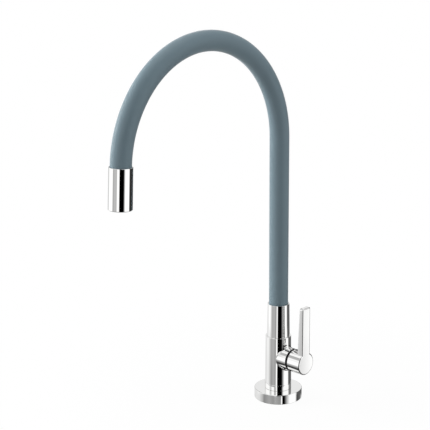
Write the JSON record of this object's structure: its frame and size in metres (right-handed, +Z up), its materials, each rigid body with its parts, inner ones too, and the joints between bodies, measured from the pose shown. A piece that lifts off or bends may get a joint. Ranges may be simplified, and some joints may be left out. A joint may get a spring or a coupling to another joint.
{
  "type": "kitchen faucet",
  "caption": "Tall deck-mounted kitchen tap with a side lever, a tapered collar and a flexible silicone-covered gooseneck spout ending in a short chrome outlet head.",
  "frame": {"origin": "centre of the flange's underside, where the tap stands on the worktop", "axes": "+Z up along the riser, the spout reaches towards -Y, the lever is on the +X side and stands up at rest"},
  "size_m": [0.0643, 0.2568, 0.4511],
  "materials": {
    "chrome": "polished chrome plate",
    "brass": "machined",
    "stainless_steel": "plain",
    "silicone": "matt grey-blue silicone",
    "black_rubber": "matt",
    "white_plastic": "matt",
    "ceramic": "lapped ceramic",
    "hose_rubber": "smooth"
  },
  "bodies": {
    "tap_base": {"deck_flange": "chrome", "deck_seal": "black_rubber", "foot_ring": "chrome", "tap_body": "chrome", "inlet_shank": "brass", "inlet_gasket": "black_rubber", "rubber_washer": "black_rubber", "steel_washer": "stainless_steel", "backnut": "brass", "valve_body": "brass", "seat_seal": "black_rubber", "fixed_disc": "ceramic", "valve_oring": "black_rubber", "boss_ring": "black_rubber", "slide_ring": "white_plastic"},
    "lever": {"lever_handle": "chrome", "lever_screw": "stainless_steel", "valve_spindle": "brass", "turning_disc": "ceramic", "spindle_oring": "black_rubber", "spindle_clip": "stainless_steel"},
    "spout_base": {"spout_collar": "chrome", "swivel_spigot": "brass", "swivel_oring_lower": "black_rubber", "swivel_oring_upper": "black_rubber", "swivel_clip": "white_plastic", "gooseneck_riser": "stainless_steel", "hose_ferrule_lower": "stainless_steel"},
    "outlet": {"silicone_sleeve": "silicone", "water_hose": "hose_rubber", "gooseneck_arch": "stainless_steel", "hose_ferrule_upper": "stainless_steel", "head_sleeve": "chrome", "outlet_nipple": "brass", "nipple_oring": "black_rubber", "aerator_washer": "black_rubber", "aerator_housing": "white_plastic", "flow_regulator": "white_plastic", "aerator_screen": "white_plastic"}
  },
  "joints": [
    {"name": "lever_turn", "type": "hinge", "parent": "tap_base", "child": "lever", "pos_m": [0, 0, 0.0465], "axis": [1, 0, 0], "range_deg": [0, 90]},
    {"name": "spout_swivel", "type": "hinge", "parent": "tap_base", "child": "spout_base", "pos_m": [0, 0, 0.0695], "axis": [0, 0, 1], "continuous": true},
    {"name": "spout_flex", "type": "hinge", "parent": "spout_base", "child": "outlet", "pos_m": [0, 0, 0.262], "axis": [1, 0, 0], "range_deg": [-20, 20], "deforming": ["silicone_sleeve", "water_hose"]}
  ]
}
